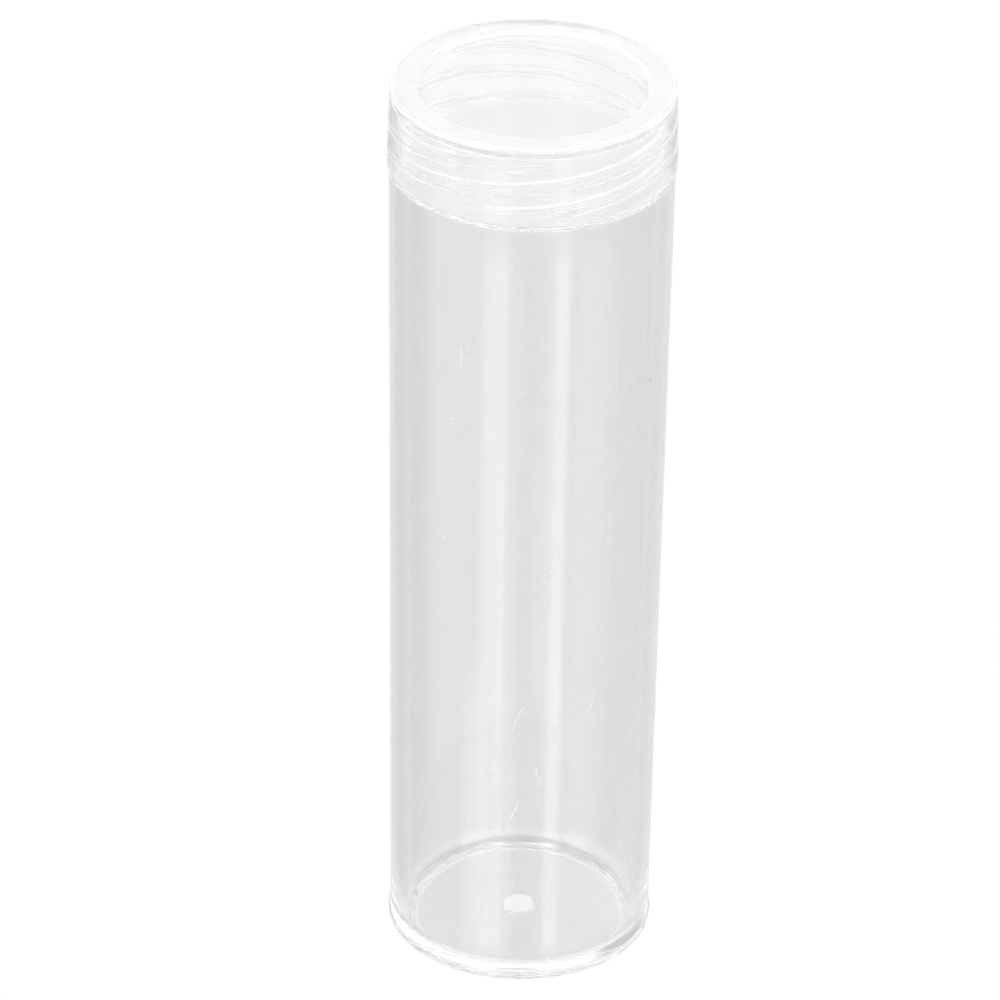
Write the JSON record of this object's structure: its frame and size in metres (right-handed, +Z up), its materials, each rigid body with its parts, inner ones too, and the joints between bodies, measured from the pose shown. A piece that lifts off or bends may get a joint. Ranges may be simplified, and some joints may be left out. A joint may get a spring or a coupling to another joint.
{
  "type": "coin tube",
  "caption": "Clear round plastic tube for one roll of coins, with a rounded-in floor, a threaded neck and a shallow-topped screw cap.",
  "frame": {"origin": "centre of the foot's flat ring, on the surface that the tube stands on", "axes": "+Z up along the tube towards the cap; -Y towards the viewer of the picture; the object is round about Z apart from its thread"},
  "size_m": [0.024, 0.024, 0.0809],
  "materials": {
    "tube_clear": "clear injection-moulded polystyrene, glossy, with fine handling scratches",
    "cap_clear": "clear injection-moulded plastic, a little hazier than the tube"
  },
  "bodies": {
    "tube": {"tube": "tube_clear"},
    "cap_lifter": {"cap_centre_panel": "cap_clear"},
    "cap": {"cap": "cap_clear"}
  },
  "joints": [
    {"name": "cap_lift", "type": "slide", "parent": "tube", "child": "cap_lifter", "axis": [0, 0, 1], "range_m": [0, 0.0085]},
    {"name": "cap_turn", "type": "hinge", "parent": "cap_lifter", "child": "cap", "pos_m": [0, 0, 0.08086], "axis": [0, 0, 1], "range_deg": [0, 450]}
  ],
  "couplings": [
    {"joint": "cap_lift", "follows": "cap_turn", "m_per_rad": 0.0010743}
  ]
}
